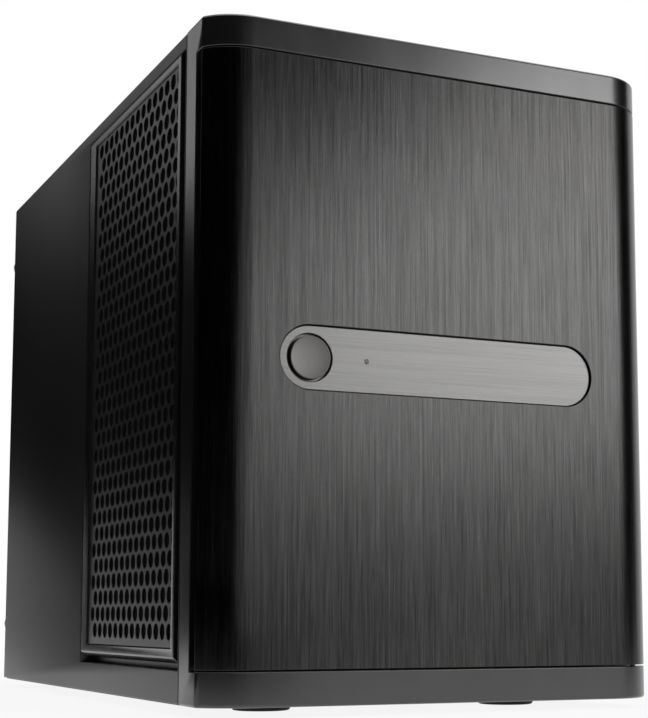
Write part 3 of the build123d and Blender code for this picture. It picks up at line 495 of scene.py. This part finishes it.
def turned(build, profile, steps, at, closed=False):
    """A profile of (radius, height) turned round an axis."""
    rows = []
    for radius, height in profile:
        if radius:
            rows.append([build.verts.new(at(*point, height)) for point in ring(radius, steps)])
        else:
            rows.append([build.verts.new(at(0, 0, height))] * steps)
    for low, high in zip(rows, rows[1:] + rows[:1] if closed else rows[1:]):
        for i in range(steps):
            j = (i + 1) % steps
            corners = list(dict.fromkeys((low[i], low[j], high[j], high[i])))
            if len(corners) > 2:
                build.faces.new(corners)


# Door
def door_sheet():
    """Aluminium sheet with rolled left and right edges, open where the strip lies behind it."""
    low, high = corners_of("door_skin")
    strip_low, strip_high = corners_of("control_strip")
    strip = centre_of("control_strip")
    flat_half, bend, thickness, seam, steps = 86.0, 24.45, 2.0, 0.25, 22
    opening_size = [strip_high.x - strip_low.x + 2 * seam, strip_high.z - strip_low.z + 2 * seam]
    outline = rectangle((-flat_half, low.z), (flat_half, high.z))
    build = bmesh.new()
    at = space(BACK * low.y, RIGHT, UP, BACK)
    plate(build, outline, [oblong(*opening_size, (strip.x, strip.z))], thickness, at)
    joins = [face for face in build.faces if abs(abs(face.calc_center_median().x) - flat_half) < 1e-4]
    bmesh.ops.delete(build, geom=joins, context="FACES_ONLY")
    last_turn = asin((high.x - flat_half) / bend)
    for side in (-1, 1):
        rows = []
        for i in range(steps + 1):
            turn = last_turn * i / steps
            row = []
            for radius in (bend, bend - thickness):
                x = side * (flat_half + radius * sin(turn))
                y = low.y + bend - radius * cos(turn)
                row += [build.verts.new((x, y, z)) for z in (low.z, high.z)]
            rows.append(row)
        for first, second in zip(rows, rows[1:]):
            for a, b in ((0, 1), (2, 3), (0, 2), (1, 3)):
                build.faces.new((first[a], first[b], second[b], second[a]))
        build.faces.new([rows[-1][corner] for corner in (0, 1, 3, 2)])
    bmesh.ops.remove_doubles(build, verts=build.verts, dist=1e-4)
    rounded_edges(piece("door_sheet", finished(build), "door_skin", sharp=40), 0.28, 2, 40)


def strip_bar():
    """Oblong brushed bar with the button's hole and the light's hole."""
    low, high = corners_of("control_strip")
    middle = (low + high) / 2
    button, lamp = centre_of("power_button"), centre_of("light_guide")
    button_hole, lamp_hole = 10.0, 0.8
    holes = [ring(button_hole, 64, (button.x, button.z)), ring(lamp_hole, 24, (lamp.x, lamp.z))]
    outline = oblong(high.x - low.x, high.z - low.z, (middle.x, middle.z))
    build = bmesh.new()
    plate(build, outline, holes, high.y - low.y, space(BACK * low.y, RIGHT, UP, BACK))
    rounded_edges(piece("strip_bar", finished(build), "control_strip"), 0.3, 3)


def button_cap():
    """Dished face with a rounded rim, a flange and the stem behind it."""
    low, high = corners_of("power_button")
    middle = (low + high) / 2
    rim, flange, stem = 9.0, 10.4, 4.0
    flange_front, flange_back = 2.8, 3.75
    dish = [(0, 0.42), (2.4, 0.4), (4.6, 0.33), (6.4, 0.22), (7.7, 0.1), (8.45, 0.02), (8.6, 0)]
    edge = [(8.78, 0.05), (8.93, 0.16), (rim, 0.34), (rim, flange_front)]
    behind = [(flange, flange_front), (flange, flange_back), (stem, flange_back)]
    end = high.y - low.y
    build = bmesh.new()
    at = space(Vector((middle.x, low.y, middle.z)), RIGHT, UP, BACK)
    turned(build, dish + edge + behind + [(stem, end), (0, end)], 96, at)
    piece("button_cap", finished(build), "power_button", finish=button_finish, sharp=45)


# Side filter
def perforated_sheet():
    """Steel sheet with 32 rows of round holes, every other row moved by half a pitch."""
    low, high = corners_of("filter_sheet")
    rows, per_row, row_pitch, hole_pitch = 32, 15, 7.62, 8.8
    top_margin, rear_margin, radius, thickness = 4.6, 7.6, 3.5, 0.5
    holes = []
    for row in range(rows):
        z = high.z - top_margin - row * row_pitch
        for number in range(per_row):
            y = high.y - rear_margin - (number + (row % 2) / 2) * hole_pitch
            if y > low.y - 0.1:
                holes.append(clipped(ring(radius, 20, (y, z), pi / 20), low.y, high.y))
    outline = rectangle((low.y, low.z), (high.y, high.z))
    build = bmesh.new()
    plate(build, outline, holes, thickness, space(RIGHT * low.x, BACK, UP, RIGHT), merged=False)
    piece("perforated_sheet", finished(build), "filter_sheet", finish=sheet_finish)


# Fans
def fan_places():
    """For each fan: its name, the foot of its axis, its right, up and out, and its depth."""
    places = []
    for name, right, out in (("lower", BACK, -RIGHT), ("upper", BACK, -RIGHT), ("rear", RIGHT, -BACK)):
        low, high = corners_of(name + "_fan_frame")
        depth = abs((high - low).dot(out))
        places.append((name, (low + high) / 2 - out * depth / 2, right, out.cross(right), out, depth))
    return places


def fan_struts(build, at):
    """Four leaning struts from the motor to the duct."""
    root, tip, lean, steps = 17.0, fan_bore + 0.5, 0.16, 8
    section = ((-2, 0.4), (2, 0.4), (1.2, 4.6), (-1.2, 4.6))
    for quarter in range(4):
        rows = []
        for i in range(steps + 1):
            reach = root + (tip - root) * i / steps
            turn = pi / 4 + quarter * pi / 2 + lean * (i / steps) ** 2
            row = []
            for side, height in section:
                x = reach * cos(turn) - side * sin(turn)
                y = reach * sin(turn) + side * cos(turn)
                row.append(build.verts.new(at(x, y, height)))
            rows.append(row)
        for first, second in zip(rows, rows[1:]):
            for i in range(4):
                build.faces.new((first[i - 1], first[i], second[i], second[i - 1]))
        build.faces.new(rows[0])
        build.faces.new(rows[-1][::-1])


def fan_housing(name, foot, right, up, out, depth):
    """Two square flanges joined by a round duct, with four struts and the motor plate."""
    half, flange, corner, wall = 60.0, 4.0, 6.5, 1.6
    outline = round_rectangle((-half, -half), (half, half), corner)
    holes = [ring(fan_bore, 96)]
    holes += [ring(fan_screw_hole, 16, spot) for spot in four_spots(fan_screw_place, fan_screw_place)]
    build = bmesh.new()
    for start in (0.0, depth - flange):
        plate(build, outline, holes, flange, space(foot + out * start, right, up, out))
    at = space(foot, right, up, out)
    turned(build, rectangle((fan_bore, flange), (fan_bore + wall, depth - flange)), 96, at, closed=True)
    fan_struts(build, at)
    motor = [(0, 0.2), (18.6, 0.2), (19.4, 0.6), (19.6, 1.4), (19.6, 4.6), (19.0, 5.0), (0, 5.0)]
    turned(build, motor, 64, at)
    rounded_edges(piece(name + "_fan_housing", finished(build), name + "_fan_frame"), 0.3, 2, 50)


def fan_blade(build, at, bearing, low, high):
    """One swept, twisted blade: a thin cambered section carried from the hub to the tip."""
    root, tip, root_pitch, twist, root_chord, spread = 19.6, 56.0, 52, 24, 25.0, 9.0
    sweep, camber, half_thickness, edge, room = 0.32, 2.6, 0.85, 0.12, (high - low) / 2 - 0.4
    steps = 10
    top, bottom = [], []
    for i in range(steps + 1):
        share = i / steps
        radius = root + (tip - root) * share
        pitch = radians(root_pitch - twist * share)
        chord = root_chord + spread * share
        for rows in (top, bottom):
            rows.append([])
        for j in range(steps + 1):
            place = j / steps - 0.5
            bow = camber * (1 - (2 * place) ** 2)
            half = half_thickness * (1 - (2 * place) ** 4) + edge
            along = chord * place * cos(pitch) - bow * sin(pitch)
            rise = chord * place * sin(pitch) + bow * cos(pitch)
            turn = bearing + sweep * share**1.4 + along / radius
            height = (low + high) / 2 + min(max(rise, -room), room)
            x, y = radius * cos(turn), radius * sin(turn)
            top[i].append(build.verts.new(at(x, y, height + half)))
            bottom[i].append(build.verts.new(at(x, y, height - half)))
    for i in range(steps):
        for j in range(steps):
            for rows in (top, bottom):
                build.faces.new((rows[i][j], rows[i][j + 1], rows[i + 1][j + 1], rows[i + 1][j]))
        for j in (0, steps):
            build.faces.new((top[i][j], top[i + 1][j], bottom[i + 1][j], bottom[i][j]))
    for i in (0, steps):
        for j in range(steps):
            build.faces.new((top[i][j], bottom[i][j], bottom[i][j + 1], top[i][j + 1]))


def fan_rotor(name, foot, right, up, out, depth):
    """Domed hub with seven blades."""
    low, high, hub, blades = 6.2, depth - 1.4, 20.0, 7
    side = [(0, low), (19.2, low), (hub, low + 0.8), (hub, high - 2.6)]
    dome = [(19.4, high - 1.0), (18.0, high - 0.2), (16, high), (0, high)]
    build = bmesh.new()
    at = space(foot, right, up, out)
    turned(build, side + dome, 64, at)
    for number in range(blades):
        fan_blade(build, at, 2 * pi * number / blades, low, high)
    piece(name + "_fan_rotor", finished(build), name + "_impeller", sharp=50)


# Rear wall
def rear_wall():
    """Steel wall with a close pattern of six-sided vents behind the fan."""
    low, high = corners_of("rear_panel")
    fan = centre_of("rear_fan_frame")
    pitch, vent, reach = 8.4, 4.1, fan_bore - 3.6
    row_pitch = pitch * sqrt(3) / 2
    rows = int(reach / row_pitch) + 1
    holes = []
    for row in range(-rows, rows + 1):
        for column in range(-rows, rows + 1):
            x, z = (column + (row % 2) / 2) * pitch, row * row_pitch
            if hypot(x, z) < reach:
                holes.append(ring(vent, 6, (fan.x + x, fan.z + z), pi / 6))
    for x, z in four_spots(fan_screw_place, fan_screw_place):
        holes.append(ring(fan_screw_hole, 12, (fan.x + x, fan.z + z)))
    ports_low, ports_high = (48.35, 46.85), (92.8, 205.6)
    holes.append(rectangle(ports_low, ports_high))
    supply_z, supply_half_width, supply_half_height, supply_corner = 249.75, 50.0, 28.0, 3.0
    supply_low = (-supply_half_width, supply_z - supply_half_height)
    supply_high = (supply_half_width, supply_z + supply_half_height)
    holes.append(round_rectangle(supply_low, supply_high, supply_corner))
    supply_screw_hole, supply_screw_x, supply_screw_z = 2.0, 56.5, 25.75
    for x, z in four_spots(supply_screw_x, supply_screw_z):
        holes.append(ring(supply_screw_hole, 16, (x, supply_z + z)))
    slot_left, slot_right, slot_half = -17.1, 88.9, 6.35
    for slot_z in (35.5, 15.18):
        holes.append(rectangle((slot_left, slot_z - slot_half), (slot_right, slot_z + slot_half)))
    outline = rectangle((low.x, low.z), (high.x, high.z))
    build = bmesh.new()
    plate(build, outline, holes, high.y - low.y, space(BACK * low.y, RIGHT, UP, BACK), merged=False)
    piece("rear_wall", finished(build), "rear_panel")


# Small pieces
def thumbscrew_set():
    """Screws with knurled heads."""
    low, high = corners_of("thumbscrews")
    head, depth, teeth, tooth, shank = 5.0, 6.0, 36, 0.35, 1.7
    knurl = []
    for i in range(teeth * 2):
        radius = head - 0.02 if i % 2 else head - tooth
        knurl.append((radius * cos(pi * i / teeth), radius * sin(pi * i / teeth)))
    face = [(0, 0.05), (3.6, 0.05), (4.3, 0.3), (4.5, 0.7), (0, 0.7)]
    collar = [(0, depth - 0.7), (4.4, depth - 0.7), (4.2, depth), (shank, depth)]
    margin = 0.6
    build = bmesh.new()
    for x in (low.x + head, high.x - head):
        for z in (low.z + head, high.z - head):
            top = Vector((x, high.y, z))
            plate(build, knurl, [], depth - 2 * margin, space(top - BACK * margin, RIGHT, UP, -BACK))
            at = space(top, RIGHT, UP, -BACK)
            turned(build, face, 36, at)
            turned(build, collar + [(shank, depth + 6), (0, depth + 6)], 24, at)
    piece("thumbscrew_set", finished(build), "thumbscrews", sharp=35)


def feet():
    """Round rubber feet with a moulded rim and a hollow middle."""
    low, high = corners_of("rubber_feet")
    radius = 13.5
    hollow = [(0, 0.9), (4.6, 0.9), (5.0, 0.6), (5.4, 0.1), (6.0, 0.0)]
    rim = [(11.4, 0.0), (12.1, 0.2), (12.5, 0.8), (13.3, 3.6), (13.4, 4.0), (0, 4.0)]
    build = bmesh.new()
    for x in (low.x + radius, high.x - radius):
        for y in (low.y + radius, high.y - radius):
            turned(build, hollow + rim, 64, space(Vector((x, y, 0)), RIGHT, BACK, UP))
    piece("feet", finished(build), "rubber_feet", sharp=50)


def screw(build, top, right, out, length):
    """A pan-head screw with a cross recess, its top at a place and facing out."""
    depth, recess_depth, arm, half, shank = 1.2, 0.8, 1.9, 0.36, 1.5
    at = space(top, right, out.cross(right), -out)
    recess = []
    for cosine, sine in ((1, 0), (0, 1), (-1, 0), (0, -1)):
        for x, y in ((arm, -half), (arm, half), (half, half)):
            recess.append((x * cosine - y * sine, x * sine + y * cosine))
    plate(build, ring(screw_head, 32), [recess], recess_depth, at)
    below = [(0, recess_depth), (screw_head, recess_depth), (screw_head, depth)]
    turned(build, below + [(shank, depth), (shank, length), (0, length)], 24, at)


def fan_screw_set():
    """Four screws for each fan. Those of the rear fan go through the rear wall."""
    low, high = corners_of("fan_screws")
    build = bmesh.new()
    for name, _, right, up, out, _ in fan_places():
        middle = centre_of(name + "_fan_frame")
        for x, y in four_spots(fan_screw_place, fan_screw_place):
            top = middle + right * x + up * y
            if name == "rear":
                top.y = high.y
                screw(build, top, right, BACK, 9)
            else:
                top.x = low.x
                screw(build, top, right, out, 9)
    rounded_edges(piece("fan_screw_set", finished(build), "fan_screws", sharp=35), 0.15)


def slot_screw_set():
    """The two screws that hold the slot covers."""
    low, high = corners_of("slot_screws")
    middle = (low + high) / 2
    build = bmesh.new()
    for z in (low.z + screw_head, high.z - screw_head):
        screw(build, Vector((middle.x, high.y, z)), RIGHT, BACK, 5)
    rounded_edges(piece("slot_screw_set", finished(build), "slot_screws", sharp=35), 0.15)


# The case
door_sheet()
strip_bar()
button_cap()
perforated_sheet()
like_node("front_bezel", 0.45)
like_node("outer_cover", 0.35)
like_node("filter_frame", 0.5)
like_node("door_frame", 0.25)
for fan_place in fan_places():
    fan_housing(*fan_place)
    fan_rotor(*fan_place)
rear_wall()
for number in range(1, 9):
    like_node("drive_tray_%d" % number, 0.25)
    like_node("tray_lever_%d" % number, 0.3)
for node in ("port_module", "port_sockets", "reset_button"):
    like_node(node, 0.15)
for node in ("slot_covers", "base_pan", "psu_shelf", "front_plate"):
    like_node(node, 0.12, 1)
for node in ("drive_cage", "board_tray", "roof_rails", "fan_bracket"):
    like_node(node, 0.12, 1)
thumbscrew_set()
feet()
fan_screw_set()
slot_screw_set()


# Studio
def lit_as_background(nodes, surface, share):
    """A surface that the camera, gloss and glass see as plain white, by a share."""
    sight = nodes.get("ShaderNodeLightPath").socket.node
    seen = Amount(nodes, sight.outputs["Is Camera Ray"])
    for other in ("Is Glossy Ray", "Is Transmission Ray"):
        seen = seen.at_least(Amount(nodes, sight.outputs[other]))
    white = nodes.get("ShaderNodeEmission", {}, {"Strength": 1.0})
    return nodes.get("ShaderNodeMixShader", {}, {0: seen * share, 1: surface, 2: white})


def staged(name, points, faces, material):
    """A sheet that belongs to the studio."""
    mesh = bpy.data.meshes.new(name)
    mesh.from_pydata(points, [], faces)
    mesh.materials.append(material)
    sheet = bpy.data.objects.new(name, mesh)
    scene.collection.objects.link(sheet)
    return sheet


def studio_floor():
    """White paper that keeps the case's shadow and fades to plain white further off."""
    material = bpy.data.materials.new("floor_paper")
    nodes = Nodes(material)
    paper = nodes.get("ShaderNodeBsdfDiffuse", {}, {"Color": (0.86, 0.86, 0.86, 1)})
    x, y, _ = nodes.split(nodes.place())
    far = ((x * x + y * y) ** 0.5).within(0.35, 1.5)
    surface = lit_as_background(nodes, paper, far * 0.11 + 0.89)
    nodes.get("ShaderNodeOutputMaterial", {}, {"Surface": surface})
    reach = 12
    points = [(x, y, 0) for x, y in rectangle((-reach, -reach), (reach, reach))]
    staged("floor", points, [(0, 1, 2, 3)], material)


def studio_world():
    """Plain soft light from all round."""
    scene.world = bpy.data.worlds.new("studio")
    nodes = Nodes(scene.world)
    fill = nodes.get("ShaderNodeBackground", {}, {"Color": (1, 1, 1, 1), "Strength": 0.5})
    nodes.get("ShaderNodeOutputWorld", {}, {"Surface": lit_as_background(nodes, fill, 1.0)})


def black_cloth():
    material = bpy.data.materials.new("black_cloth")
    nodes = Nodes(material)
    cloth = nodes.get("ShaderNodeBsdfDiffuse", {}, {"Color": (0.004, 0.004, 0.004, 1)})
    nodes.get("ShaderNodeOutputMaterial", {}, {"Surface": cloth})
    return material


def dark_card(name, cloth, start, end, near, far):
    """A curved black card round the case, between two bearings from the back. Only gloss sees it."""
    steps = 24
    points, faces = [], []
    for i in range(steps + 1):
        bearing = radians(start + (end - start) * i / steps)
        for distance, height in (near, far):
            points.append((distance * sin(bearing), distance * cos(bearing), height))
        if i:
            faces.append((2 * i - 2, 2 * i, 2 * i + 1, 2 * i - 1))
    card = staged(name, points, faces, cloth)
    card.visible_camera = False
    card.visible_diffuse = False
    card.visible_shadow = False
    card.visible_transmission = False


def softbox(name, place, aim, size, power):
    lamp = bpy.data.lights.new(name, "AREA")
    lamp.shape = "RECTANGLE"
    lamp.size, lamp.size_y = size
    lamp.energy = power
    held = bpy.data.objects.new(name, lamp)
    held.location = place
    held.rotation_euler = (Vector(aim) - Vector(place)).to_track_quat("-Z", "Y").to_euler()
    scene.collection.objects.link(held)


studio_floor()
studio_world()
cloth = black_cloth()
# Each card: its two bearings, then how far off and how high each of its edges is
for name, start, end, near, far in (
    ("dark_card_rear", -2, -13.5, (3.0, 0.3), (3.0, 2.4)),
    ("dark_card_rear_left", -13.5, -18, (3.0, 0.0), (3.0, 2.4)),
    ("dark_card_left", -18, -28, (3.0, 0.0), (3.0, 1.04)),
    ("dark_card_left_high", -28, -90, (3.0, 0.0), (3.0, 2.4)),
    ("dark_card_left_low", -13.5, -90, (0.9, 0.002), (3.0, 0.002)),
    ("dark_card_front", -90, -174, (3.0, 0.0), (3.0, 3.0)),
    ("dark_card_front_low", -90, -180, (0.75, 0.002), (3.0, 0.002)),
    ("dark_card_foot", -95, -179, (0.36, 0.0), (0.36, 0.035)),
    ("dark_card_right_low", -178, -250, (0.7, 0.002), (3.0, 0.002)),
    ("dark_card_front_high", -174, -226, (3.0, 1.0), (3.0, 4.0)),
    ("dark_card_right", -226, -270, (3.0, 0.0), (3.0, 3.0)),
):
    dark_card(name, cloth, start, end, near, far)
softbox("key", (1.45, -2.1, 0.64), (0.02, -0.18, 0.16), (1.5, 0.6), 11)
softbox("key_high", (1.6, -2.26, 1.14), (0.08, -0.18, 0.28), (0.8, 0.3), 3.8)
softbox("top", (0.3, -0.3, 2.2), (0, 0, 0.2), (1.8, 1.8), 16)

# The view that was fitted to the corners of the case in the photograph
camera_data = bpy.data.cameras.new("camera")
camera = bpy.data.objects.new("camera", camera_data)
scene.collection.objects.link(camera)
camera.location = (-0.3083, -0.7676, 0.0391)
camera.rotation_euler = (pi / 2 + 0.1174, 0.0, -0.4349)
camera_data.sensor_width = 36.0
camera_data.lens = 79.5
camera_data.shift_x = -0.06
camera_data.shift_y = 0.1
camera_data.clip_start = 0.01
camera_data.clip_end = 60.0
scene.camera = camera
scene.view_settings.view_transform = "Standard"
